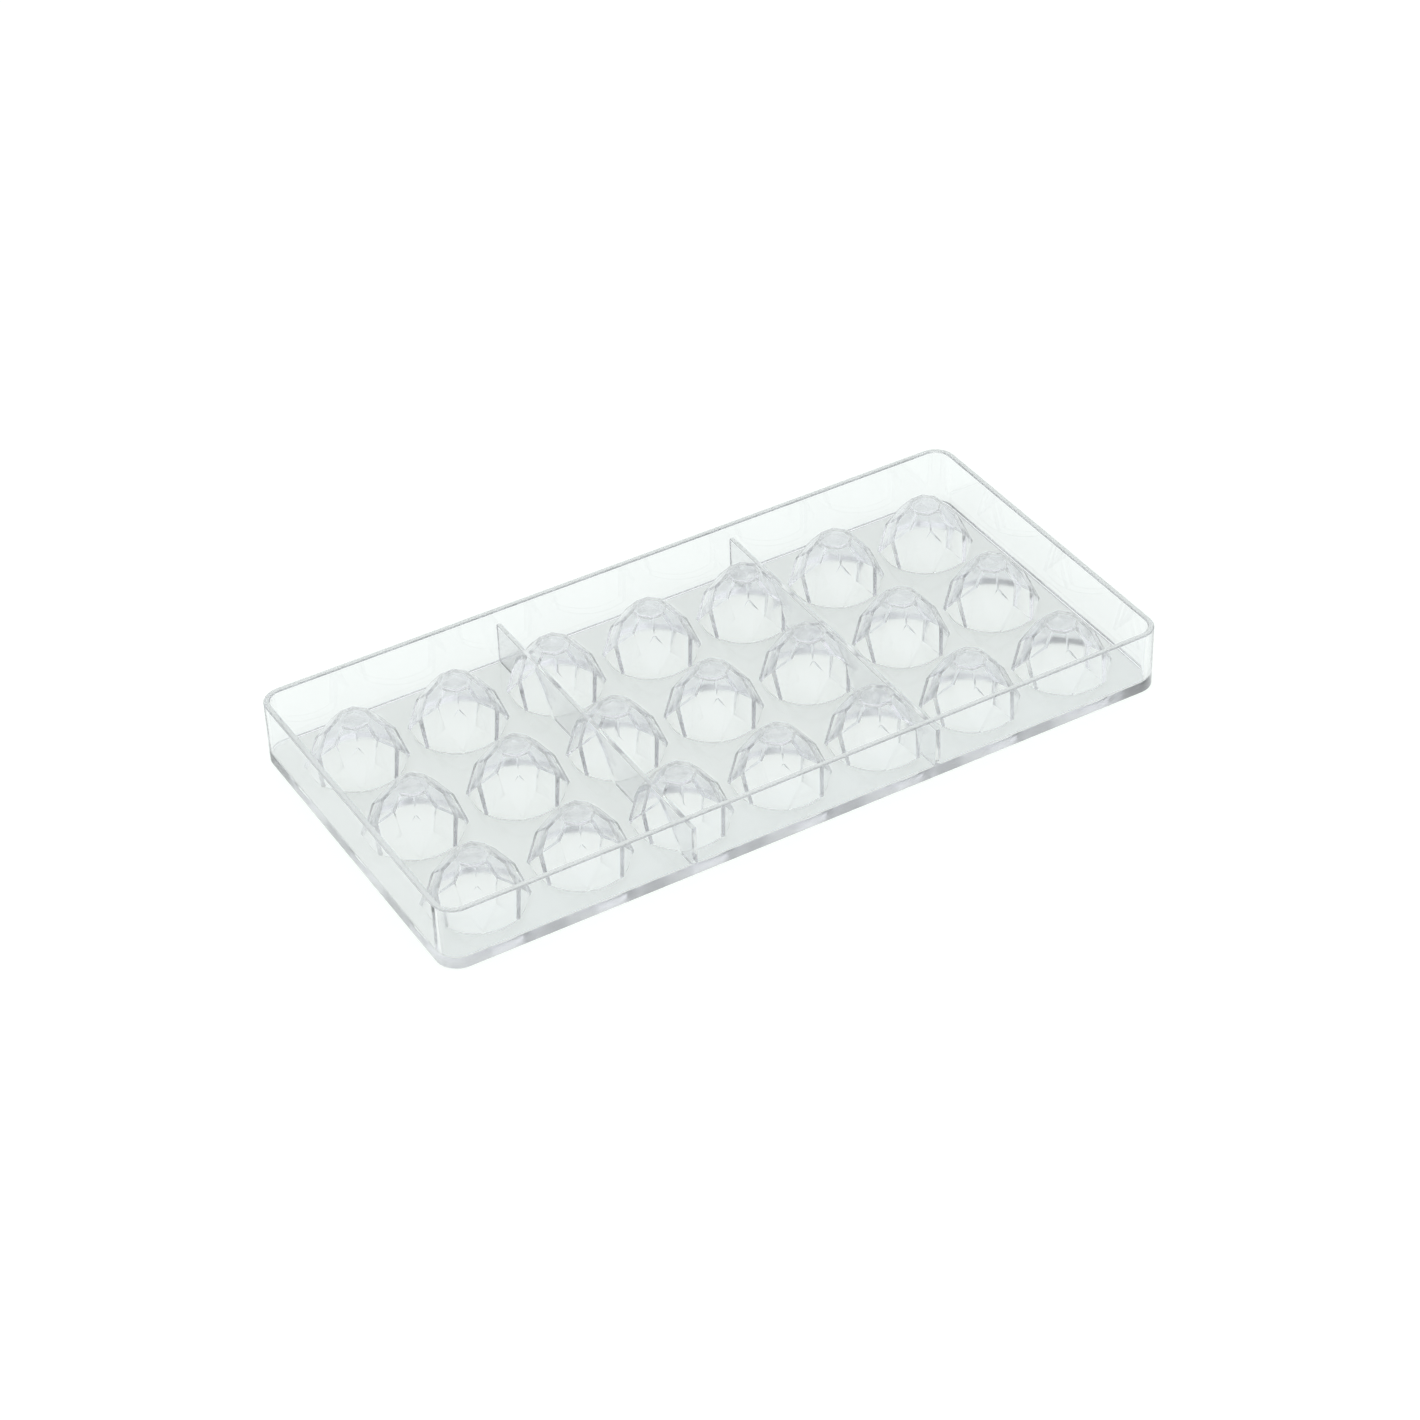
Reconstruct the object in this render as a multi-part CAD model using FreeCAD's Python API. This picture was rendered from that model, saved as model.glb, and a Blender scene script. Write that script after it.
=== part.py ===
"""Chocolate mould: one clear moulding with faceted praline cavities.

It lies on its pouring face, as for emptying: the plate is at the bottom with the
cavity mouths in it, the cavities' shells rise from the plate as cut-gem domes, a
skirt runs round the edge and two ribs cross between the long walls.
The origin is in the middle of the pouring face, +X runs along the mould, +Z is up.
"""
import FreeCAD, Part
import math
import os

Vec = FreeCAD.Vector

# Tray, in millimetres
length = 275.0
width = 135.0
height = 24.0
corner_radius = 8.0
plate_thickness = 3.1
rim_thickness = 2.2
draft_angle = 0.8        # degrees, inside of the skirt and both faces of a rib
floor_fillet = 1.3
edge_ease = 0.4          # small bevel on the rim and round the pouring face

# Grid of cavities
columns = 7
rows = 3
end_margin = 23.9        # end of the mould to the nearest cavity's axis
side_margin = 25.5       # long side of the mould to the nearest cavity's axis

# Shell of one cavity, a dome cut like a gem with eight sides
sides = 8
base_across = 32.0       # across the flats, where the dome stands on the plate
girdle_share = 0.401639  # share of the dome's own rise at which the kites are widest
girdle_inset = 1.37      # how far those points lean in from the base
table_across = 11.2      # across the flats of the level top
table_drop = 2.6         # level top below the rim
shell_thickness = 2.0

# Mouth of one cavity in the pouring face
mouth_diameter = 31.6
mouth_depth = 1.0        # height of the round band below the facets
mouth_draft = 3.0        # degrees

# Cross ribs
rib_from_end = 90.7      # end of the mould to the rib's middle
rib_drop = 5.4           # top of the rib below the rim
rib_top_thickness = 1.6

# Derived values
half_turn = math.pi / sides                      # from a facet's middle to its corner
corner = math.cos(half_turn)
lean = math.tan(math.radians(draft_angle))
table_top = height - table_drop
floor_inset = rim_thickness + (height - plate_thickness) * lean
root_z = plate_thickness / 2                     # domes and ribs start inside the plate

# Tolerances for picking edges
upright_share = 0.9      # an upright edge spans at least this share of its block's height
level_slack = 1e-4       # a level edge keeps its height to this much


class Slope:
    """A facet's plane seen from the side: its radius falls as it rises."""

    def __init__(self, radius_a, z_a, radius_b, z_b):
        self.fall = (radius_a - radius_b) / (z_b - z_a)
        self.start = radius_a + self.fall * z_a

    def radius(self, z):
        return self.start - self.fall * z

    def inset(self, distance):
        """The parallel plane that lies this far inside."""
        moved = self.start - distance * math.hypot(1.0, self.fall)
        return Slope(moved, 0.0, moved - self.fall, 1.0)

    def meets(self, other, scale_self=1.0, scale_other=1.0):
        """Height at which the two scaled radii are equal."""
        gap = self.start * scale_self - other.start * scale_other
        return gap / (self.fall * scale_self - other.fall * scale_other)


def ring(radius, z, on_corner):
    """The points of one level of the gem, on the facets' middles or their corners."""
    turn = half_turn if on_corner else 0.0
    angles = [2 * half_turn * k + turn for k in range(sides)]
    return [Vec(radius * math.cos(a), radius * math.sin(a), z) for a in angles]


def gem(side, kite, main, bottom, top):
    """Solid between two levels with steep sides, kites and main facets that meet in points."""
    heel_z = kite.meets(side, 1.0, 1 / corner)
    girdle_z = kite.meets(main, 1 / corner, 1.0)
    crown_z = main.meets(kite, 1 / corner, 1.0)
    foot = ring(side.radius(bottom) / corner, bottom, True)
    heel = ring(kite.radius(heel_z), heel_z, True)
    girdle = ring(main.radius(girdle_z), girdle_z, False)
    crown = ring(kite.radius(crown_z), crown_z, True)
    table = ring(main.radius(top) / corner, top, True)
    outlines = [foot, table]
    for k in range(sides):
        n = (k + 1) % sides
        outlines.append([foot[k], heel[k], girdle[n], heel[n], foot[n]])
        outlines.append([heel[k], girdle[n], crown[k], girdle[k]])
        outlines.append([girdle[n], crown[k], table[k], table[n], crown[n]])
    faces = [Part.Face(Part.makePolygon(points + points[:1])) for points in outlines]
    solid = Part.makeSolid(Part.makeShell(faces))
    return solid if solid.Volume > 0 else solid.reversed()


def dome_slopes():
    """The outer planes of a dome: steep sides, kites and main facets."""
    base = base_across / 2
    girdle_radius = base - girdle_inset
    girdle_z = plate_thickness + girdle_share * (table_top - plate_thickness)
    side = Slope(base, plate_thickness, girdle_radius, girdle_z)
    kite = Slope(base / corner, plate_thickness, girdle_radius * corner, girdle_z)
    main = Slope(girdle_radius, girdle_z, table_across / 2, table_top)
    return side, kite, main


def dome():
    """Outer form of a cavity's shell, rooted in the plate."""
    side, kite, main = dome_slopes()
    return gem(side, kite, main, root_z, table_top)


def cavity():
    """Hollow of one praline: the gem set in by the shell, on a round foot at the mouth."""
    side, kite, main = (slope.inset(shell_thickness) for slope in dome_slopes())
    girdle_z = kite.meets(main, 1 / corner, 1.0)
    side = Slope(side.radius(mouth_depth), mouth_depth, main.radius(girdle_z), girdle_z)
    below = -mouth_depth
    hollow = gem(side, kite, main, 0.0, table_top - shell_thickness)
    mouth = mouth_diameter / 2
    lean_in = math.tan(math.radians(mouth_draft))
    foot = Part.makeCone(mouth - below * lean_in, mouth - mouth_depth * lean_in,
                         mouth_depth - below, Vec(0, 0, below))
    return hollow.fuse(foot)


def upright_edges(solid):
    """Edges that climb from the bottom to the top of a block."""
    tall = solid.BoundBox.ZLength * upright_share
    return [edge for edge in solid.Edges if edge.BoundBox.ZLength > tall]


def level_edges(solid, z):
    """Edges that lie at one height."""
    return [edge for edge in solid.Edges
            if abs(edge.BoundBox.ZMin - z) < level_slack and abs(edge.BoundBox.ZMax - z) < level_slack]


def outer_block():
    """The mould's outline with its four upright corners rounded."""
    block = Part.makeBox(length, width, height, Vec(-length / 2, -width / 2, 0))
    return block.makeFillet(corner_radius, upright_edges(block))


def recess():
    """The drafted space inside the skirt, rounded in its corners and along the floor."""
    rise = height - plate_thickness
    floor_x = length / 2 - floor_inset
    floor_y = width / 2 - floor_inset
    rim_x = length / 2 - rim_thickness
    rim_y = width / 2 - rim_thickness
    wedge = Part.makeWedge(-floor_x, 0, -floor_y, -rim_y, -rim_x, floor_x, rise, floor_y, rim_y, rim_x)
    wedge.rotate(Vec(0, 0, 0), Vec(1, 0, 0), 90)
    wedge.translate(Vec(0, 0, plate_thickness))
    space = wedge.makeFillet(corner_radius - rim_thickness, upright_edges(wedge))
    return space.makeFillet(floor_fillet, level_edges(space, plate_thickness))


def tray():
    """Plate and skirt, with the rim's and the pouring face's edges eased."""
    body = outer_block().cut(recess())
    return body.makeChamfer(edge_ease, level_edges(body, height) + level_edges(body, 0.0))


def rib(x):
    """A drafted rib from one long wall to the other, rooted in the plate and the walls."""
    top = height - rib_drop
    half_top = rib_top_thickness / 2
    half_root = half_top + (top - root_z) * lean
    reach = width / 2 - rim_thickness / 2
    outline = [Vec(x - half_root, -reach, root_z), Vec(x + half_root, -reach, root_z),
               Vec(x + half_top, -reach, top), Vec(x - half_top, -reach, top)]
    return Part.Face(Part.makePolygon(outline + outline[:1])).extrude(Vec(0, 2 * reach, 0))


def grid():
    """The cavities' axes, row by row."""
    first_x = end_margin - length / 2
    first_y = side_margin - width / 2
    step_x = -2 * first_x / (columns - 1)
    step_y = -2 * first_y / (rows - 1)
    return [Vec(first_x + step_x * i, first_y + step_y * j, 0)
            for j in range(rows) for i in range(columns)]


def at_each(solid, places):
    """Copies of a solid, one at each place."""
    return [solid.translated(place) for place in places]


def mould():
    """The whole moulding as one solid."""
    rib_x = length / 2 - rib_from_end
    ribs = [rib(-rib_x), rib(rib_x)]
    body = tray().multiFuse(ribs + at_each(dome(), grid()))
    body = body.cut(Part.makeCompound(at_each(cavity(), grid())))
    return body.removeSplitter()


os.makedirs("parts", exist_ok=True)
shape = mould()
print("solids", len(shape.Solids), "valid", shape.isValid(), "volume", round(shape.Volume, 1))
print("box", shape.BoundBox)
shape.Solids[0].exportStep("parts/mould.step")
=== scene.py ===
"""Chocolate mould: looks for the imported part, a clear moulding on a pale studio floor."""

import bmesh
import bpy
import math
from mathutils import Matrix, Vector


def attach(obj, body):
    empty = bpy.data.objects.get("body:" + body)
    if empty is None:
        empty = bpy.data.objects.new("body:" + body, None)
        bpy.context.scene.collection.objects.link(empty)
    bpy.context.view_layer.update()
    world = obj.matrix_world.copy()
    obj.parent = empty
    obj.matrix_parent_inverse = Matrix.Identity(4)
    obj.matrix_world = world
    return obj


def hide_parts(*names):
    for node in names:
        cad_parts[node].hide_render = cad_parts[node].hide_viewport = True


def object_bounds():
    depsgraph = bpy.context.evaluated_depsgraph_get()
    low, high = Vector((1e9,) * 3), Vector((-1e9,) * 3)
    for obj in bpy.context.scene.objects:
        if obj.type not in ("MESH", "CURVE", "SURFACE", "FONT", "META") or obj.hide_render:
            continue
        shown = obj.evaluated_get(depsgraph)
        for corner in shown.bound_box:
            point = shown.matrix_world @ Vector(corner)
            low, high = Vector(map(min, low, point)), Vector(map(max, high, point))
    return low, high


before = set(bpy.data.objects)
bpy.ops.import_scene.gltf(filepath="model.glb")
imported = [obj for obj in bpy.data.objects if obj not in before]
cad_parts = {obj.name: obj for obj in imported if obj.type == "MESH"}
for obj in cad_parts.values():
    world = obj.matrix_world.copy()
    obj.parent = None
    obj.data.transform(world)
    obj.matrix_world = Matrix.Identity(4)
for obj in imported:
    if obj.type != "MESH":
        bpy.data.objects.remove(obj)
cad_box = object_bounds()

MM = 0.001

# The camera, from the mould's edges and grid in the photograph; degrees and metres
CAMERA_AZIMUTH = -29.56
CAMERA_ELEVATION = 37.59
CAMERA_ROLL = -2.15
CAMERA_DISTANCE = 1.263
CAMERA_TARGET = Vector((1.18 * MM, 4.77 * MM, 0.0))
FOCAL_PIXELS = 3707.0
IMAGE_PIXELS = 1420.0
SENSOR = 36.0            # millimetres, as a lens is given
NEAR, FAR = 0.01, 50.0

# The moulding: its outside from the frame, its plate and its skirt
HALF_LENGTH, HALF_WIDTH, RIM = cad_box[1]
PLATE_TOP = 3.1 * MM
SKIRT = 2.7 * MM         # the skirt's thickness with its draft
WORN_BAND = 0.5 * MM     # height of the worn band at the rim
POURING_SKIN = 0.02 * MM  # the scraped finish, and the painted shade of its darker tint, reach this high

# The grid of cavities
COLUMNS, ROWS = 7, 3
END_MARGIN = 23.9 * MM   # end of the mould to the nearest cavity's axis
SIDE_MARGIN = 25.5 * MM  # long side of the mould to the nearest cavity's axis
FIRST_X = END_MARGIN - HALF_LENGTH
FIRST_Y = SIDE_MARGIN - HALF_WIDTH
DOME_REACH = 17.5 * MM   # a cavity's faces lie nearer to its axis than this

# The cross ribs
RIB_FROM_END = 90.7 * MM  # end of the mould to the rib's middle
RIB_DROP = 5.4 * MM      # top of the rib below the rim
RIB_HALF = 1.5 * MM      # a rib's faces and corners lie nearer to its middle than this
RIB_X = HALF_LENGTH - RIB_FROM_END
RIB_TOP = RIM - RIB_DROP

# Slack for telling the moulding's faces apart, and the share of a normal that counts as level
HAIR = 0.05 * MM
LEVEL = 0.999

# Corners nearer than this are one, and faces that turn less than this, in degrees, are one facet
SAME_PLACE = 1e-6
FLAT_TURN = 0.3

# How far an edge's rounding reaches onto each face, by the parts that meet there
WIDEST = 0.6 * MM
ROUNDING = {
    frozenset(["dome"]): 0.35 * MM,
    frozenset(["rib"]): 0.2 * MM,
    frozenset(["rib", "plate"]): 0.4 * MM,
}
CROWN_ROUNDING = 0.6 * MM
CROWN = 16.5 * MM        # the level top and the ridges that lead to it are above this
EDGE_SEGMENTS = 3
LEAST_TURN = 12.0        # degrees between the faces of an edge that is rounded
LEAST_LENGTH = 1.5 * MM

# Degrees from which an edge is shaded sharp, and how much large faces lead the shading
SHARP_TURN = 14.0
SHARP_SKIRT = 30.0
LARGE_FACES_LEAD = 100

# Polycarbonate: its tint where light passes its surface, and over a metre of its depth
REFRACTION = 1.585
CLEAR_TINT = (0.986, 0.991, 0.999, 1.0)
# The pouring face's darker tint is painted shade: it stands in for the contact shadow on the floor under the
# plate
PLATE_SHADE_TINT = (0.95, 0.965, 0.965, 1.0)
DEPTH_TINT = (0.1, 0.15, 0.4, 1.0)
DEPTH_DENSITY = 1.5

# Roughness from the least to the most hazy or scraped places; the inside and the rim add theirs
SKIRT_ROUGHNESS = (0.01, 0.02)
INSIDE_ROUGHNESS = (0.08, 0.14)
RIM_ROUGHNESS = (0.08, 0.2)
POURING_ROUGHNESS = (0.26, 0.42)
HAZE_SCALE = 55.0
SCRAPE_SCALE = (60.0, 1400.0, 1.0)

# The floor, with what it adds of its own to the camera's view and to gloss and clear parts
FLOOR_GAP = 0.05 * MM
FLOOR_RADIUS = 6.0
FLOOR_SIDES = 96
FLOOR_COLOUR = (0.24, 0.24, 0.24, 1.0)
FLOOR_GLOW = (0.95, 1.0, 0.955, 1.0)
GLOW_SEEN = 0.85
GLOW_THROUGH = 0.765

# Brightness of the studio by height, from the horizon (0) to straight up (1)
SKY = [(0.3, 0.45), (0.45, 0.46), (0.75, 0.46), (0.88, 0.62)]
COOL_GREY = (0.98, 1.0, 1.04)
SKY_STRENGTH = 2.08

# Light crosses many walls before it leaves the mould
BOUNCES = 32
GLOSS_BOUNCES = 16

# Places of the colours among a Mix node's sockets, where names repeat
MIX_FIRST, MIX_SECOND, MIX_RESULT = 6, 7, 2


class Wire:
    """A shader socket that takes part in arithmetic."""

    def __init__(self, paint, socket):
        self.paint = paint
        self.socket = socket

    def __add__(self, other):
        return self.paint.maths("ADD", self, other)

    def __sub__(self, other):
        return self.paint.maths("SUBTRACT", self, other)

    def __rsub__(self, other):
        return self.paint.maths("SUBTRACT", other, self)

    def __mul__(self, other):
        return self.paint.maths("MULTIPLY", self, other)

    def __lt__(self, other):
        return self.paint.maths("LESS_THAN", self, other)

    def __gt__(self, other):
        return self.paint.maths("GREATER_THAN", self, other)

    __radd__ = __add__
    __rmul__ = __mul__


class Paint:
    """The node tree of one material or of the world."""

    def __init__(self, tree):
        self.tree = tree
        tree.nodes.clear()

    def node(self, kind, settings=None, inputs=None, output=0):
        """Make a node, its settings first and then its sockets, and give back its output or outputs."""
        made = self.tree.nodes.new(kind)
        for name, value in (settings or {}).items():
            if name == "stops":
                self.set_stops(made.color_ramp, value)
            else:
                setattr(made, name, value)
        for name, value in (inputs or {}).items():
            socket = made.inputs[name]
            if isinstance(value, Wire):
                self.tree.links.new(value.socket, socket)
            else:
                socket.default_value = value
        if isinstance(output, tuple):
            return [Wire(self, made.outputs[name]) for name in output]
        return Wire(self, made.outputs[output]) if made.outputs else None

    def set_stops(self, ramp, stops):
        while len(ramp.elements) > 1:
            ramp.elements.remove(ramp.elements[-1])
        for k, (place, colour) in enumerate(stops):
            stop = ramp.elements[0] if k == 0 else ramp.elements.new(place)
            stop.position = place
            stop.color = (*colour, 1.0)

    def maths(self, operation, *values):
        return self.node("ShaderNodeMath", {"operation": operation}, dict(enumerate(values)))

    def blend(self, factor, first, second):
        """The first colour where the factor is 0, the second where it is 1."""
        return self.node("ShaderNodeMix", {"data_type": "RGBA"}, {
            "Factor": factor,
            MIX_FIRST: first,
            MIX_SECOND: second,
        }, output=MIX_RESULT)


def material(name):
    """A new material and its empty node tree."""
    made = bpy.data.materials.new(name)
    made.use_nodes = True
    return made, Paint(made.node_tree)


def between(span, noise):
    """A value that goes from the low to the high end of a span with the noise."""
    low, high = span
    return low + (high - low) * noise


def clear_polycarbonate():
    """Clear moulded polycarbonate: glossy skirt, softer domes, worn rim, and a scraped pouring face whose
    darker tint is painted shade under the plate.
    """
    made, paint = material("clear_polycarbonate")
    place = paint.node("ShaderNodeTexCoord", output="Object")
    x, y, height = paint.node("ShaderNodeSeparateXYZ", {}, {"Vector": place}, output=("X", "Y", "Z"))
    haze = paint.node("ShaderNodeTexNoise", {}, {"Vector": place, "Scale": HAZE_SCALE, "Detail": 3.0})
    along = paint.node("ShaderNodeMapping", {}, {"Vector": place, "Scale": SCRAPE_SCALE})
    scrape = paint.node("ShaderNodeTexNoise", {}, {"Vector": along, "Scale": 1.0, "Detail": 4.0})
    # The pouring face is scraped rougher, and its darker tint there is painted shade for the floor's contact
    # shadow under the plate
    pouring = height < POURING_SKIN
    rim = height > RIM - WORN_BAND
    between_ends = paint.maths("ABSOLUTE", x) < HALF_LENGTH - SKIRT
    between_sides = paint.maths("ABSOLUTE", y) < HALF_WIDTH - SKIRT
    softer = between_ends * between_sides * between(INSIDE_ROUGHNESS, haze)
    worn = rim * between(RIM_ROUGHNESS, haze)
    polish = between(SKIRT_ROUGHNESS, haze) + softer + worn
    dull = between(POURING_ROUGHNESS, scrape)
    body = paint.node("ShaderNodeBsdfPrincipled", {}, {
        "Base Color": paint.blend(pouring, CLEAR_TINT, PLATE_SHADE_TINT),
        "Roughness": polish + pouring * (dull - polish),
        "IOR": REFRACTION,
        "Transmission Weight": 1.0,
    })
    depth = paint.node("ShaderNodeVolumeAbsorption", {}, {"Color": DEPTH_TINT, "Density": DEPTH_DENSITY})
    paint.node("ShaderNodeOutputMaterial", {}, {"Surface": body, "Volume": depth})
    return made


def cavity_axes():
    """Where the cavities stand on the plate."""
    step_x = -2 * FIRST_X / (COLUMNS - 1)
    step_y = -2 * FIRST_Y / (ROWS - 1)
    return [Vector((FIRST_X + step_x * i, FIRST_Y + step_y * j)) for i in range(COLUMNS) for j in range(ROWS)]


def part_facing_down(z):
    """The part that a level face seen from below belongs to, by its height."""
    if z < HAIR:
        return "pouring"
    return "ledge" if z < PLATE_TOP else "inner"


def part_facing_up(z):
    """The part that a level face seen from above belongs to, by its height."""
    if z > RIM - HAIR:
        return "skirt"
    if z < PLATE_TOP + HAIR:
        return "plate"
    return "rib" if abs(z - RIB_TOP) < HAIR else "dome"


def near_rib(x):
    """Whether a place along the mould is within either rib."""
    return abs(abs(x) - RIB_X) < RIB_HALF


def face_part(face, axes):
    """Which part of the moulding a face belongs to."""
    centre, normal = face.calc_center_median(), face.normal
    if normal.z < -LEVEL:
        return part_facing_down(centre.z)
    if normal.z > LEVEL:
        return part_facing_up(centre.z)
    place = centre.to_2d()
    outward = place - min(axes, key=lambda axis: (axis - place).length_squared)
    along_mould = abs(normal.x) > LEVEL
    if outward.length > DOME_REACH:
        return "rib" if along_mould and near_rib(centre.x) else "skirt"
    if along_mould:
        return "rib"
    return "dome" if normal.to_2d().dot(outward) > 0.0 else "inner"


def rounding(edge, pair):
    """How far an edge is rounded; a dome's edges that stand on the plate stay sharp."""
    lowest = min(end.co.z for end in edge.verts)
    if pair == frozenset(["dome"]) and lowest > CROWN:
        return CROWN_ROUNDING
    if pair == frozenset(["dome"]) and lowest < PLATE_TOP + HAIR:
        return 0.0
    return ROUNDING.get(pair, 0.0)


def mark_edges(shape):
    """Weigh the edges by their rounding and tell the smooth ones from the sharp ones."""
    axes = cavity_axes()
    parts = {face: face_part(face, axes) for face in shape.faces}
    weight = shape.edges.layers.float.new("bevel_weight_edge")
    for edge in shape.edges:
        turn = math.degrees(edge.calc_face_angle(0.0))
        pair = frozenset(parts[face] for face in edge.link_faces)
        clear_of_ribs = not any(near_rib(end.co.x) for end in edge.verts)
        can_round = clear_of_ribs or pair == frozenset(["rib"])
        if can_round and turn > LEAST_TURN and edge.calc_length() > LEAST_LENGTH:
            edge[weight] = rounding(edge, pair) / WIDEST
        sharp_from = SHARP_SKIRT if "skirt" in pair else SHARP_TURN
        edge.smooth = turn < sharp_from or edge[weight] > 0.0


def round_edges(piece):
    """Round the marked edges and keep the facets' shading flat."""
    bevel = piece.modifiers.new("rounded_edges", "BEVEL")
    bevel.limit_method = "WEIGHT"
    bevel.width = WIDEST
    bevel.segments = EDGE_SEGMENTS
    bevel.use_clamp_overlap = False
    bevel.miter_outer = "MITER_SHARP"
    even = piece.modifiers.new("even_shading", "WEIGHTED_NORMAL")
    even.keep_sharp = True
    even.weight = LARGE_FACES_LEAD


def softened_copy(source, name):
    """The node's own shape with the edges of its domes and ribs rounded."""
    mesh = source.data.copy()
    mesh.name = name
    shape = bmesh.new()
    shape.from_mesh(mesh)
    bmesh.ops.remove_doubles(shape, verts=shape.verts, dist=SAME_PLACE)
    bmesh.ops.dissolve_limit(shape, angle_limit=math.radians(FLAT_TURN), verts=shape.verts,
                             edges=shape.edges, delimit=set())
    shape.normal_update()
    mark_edges(shape)
    for face in shape.faces:
        face.smooth = True
    shape.to_mesh(mesh)
    shape.free()
    mesh.materials.clear()
    piece = bpy.data.objects.new(name, mesh)
    bpy.context.scene.collection.objects.link(piece)
    round_edges(piece)
    return piece


def place_camera():
    """The camera where the photograph was taken from."""
    azimuth, elevation, roll = (math.radians(v) for v in (CAMERA_AZIMUTH, CAMERA_ELEVATION, CAMERA_ROLL))
    back = Vector((math.sin(azimuth) * math.cos(elevation), -math.cos(azimuth) * math.cos(elevation),
                   math.sin(elevation)))
    right = Vector((math.cos(azimuth), math.sin(azimuth), 0.0))
    up = back.cross(right)
    turned_right = math.cos(roll) * right + math.sin(roll) * up
    turned_up = -math.sin(roll) * right + math.cos(roll) * up
    lens = bpy.data.cameras.new("camera")
    lens.sensor_width = SENSOR
    lens.lens = FOCAL_PIXELS / IMAGE_PIXELS * SENSOR
    lens.clip_start = NEAR
    lens.clip_end = FAR
    camera = bpy.data.objects.new("camera", lens)
    turn = Matrix((turned_right, turned_up, back)).transposed().to_4x4()
    camera.matrix_world = Matrix.Translation(CAMERA_TARGET + back * CAMERA_DISTANCE) @ turn
    bpy.context.scene.collection.objects.link(camera)
    bpy.context.scene.camera = camera


def seen(paint, plainly, through):
    """One strength for camera rays, one for rays in gloss or through clear parts, none for the rest."""
    camera, glossy, crossing = paint.node("ShaderNodeLightPath", output=(
        "Is Camera Ray", "Is Glossy Ray", "Is Transmission Ray"))
    return plainly * camera + through * paint.maths("MINIMUM", glossy + crossing, 1.0)


def studio_floor():
    """A wide round floor that the camera sees as plain white."""
    mesh = bpy.data.meshes.new("studio_floor")
    shape = bmesh.new()
    bmesh.ops.create_circle(shape, cap_ends=True, segments=FLOOR_SIDES, radius=FLOOR_RADIUS)
    shape.to_mesh(mesh)
    shape.free()
    floor = bpy.data.objects.new("studio_floor", mesh)
    floor.location.z = -FLOOR_GAP
    bpy.context.scene.collection.objects.link(floor)
    made, paint = material("studio_floor")
    matt = paint.node("ShaderNodeBsdfDiffuse", {}, {"Color": FLOOR_COLOUR})
    glow = paint.node("ShaderNodeEmission", {}, {
        "Color": FLOOR_GLOW,
        "Strength": seen(paint, GLOW_SEEN, GLOW_THROUGH),
    })
    both = paint.node("ShaderNodeAddShader", {}, {0: matt, 1: glow})
    paint.node("ShaderNodeOutputMaterial", {}, {"Surface": both})
    mesh.materials.append(made)


def studio_world():
    """A soft even studio, a little brighter overhead."""
    world = bpy.data.worlds.new("studio")
    world.use_nodes = True
    bpy.context.scene.world = world
    paint = Paint(world.node_tree)
    direction = paint.node("ShaderNodeTexCoord", output="Generated")
    upward = paint.node("ShaderNodeSeparateXYZ", {}, {"Vector": direction}, output="Z")
    stops = [(height, [tone * share for share in COOL_GREY]) for height, tone in SKY]
    colour = paint.node("ShaderNodeValToRGB", {"stops": stops}, {"Fac": upward})
    sky = paint.node("ShaderNodeBackground", {}, {"Color": colour, "Strength": SKY_STRENGTH})
    paint.node("ShaderNodeOutputWorld", {}, {"Surface": sky})


polycarbonate = clear_polycarbonate()
mould = softened_copy(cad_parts["mould"], "mould_clear")
mould.data.materials.append(polycarbonate)
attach(mould, "root")
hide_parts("mould")

studio_floor()
studio_world()
place_camera()

scene = bpy.context.scene
scene.view_settings.view_transform = "Standard"
scene.cycles.max_bounces = BOUNCES
scene.cycles.transmission_bounces = BOUNCES
scene.cycles.glossy_bounces = GLOSS_BOUNCES
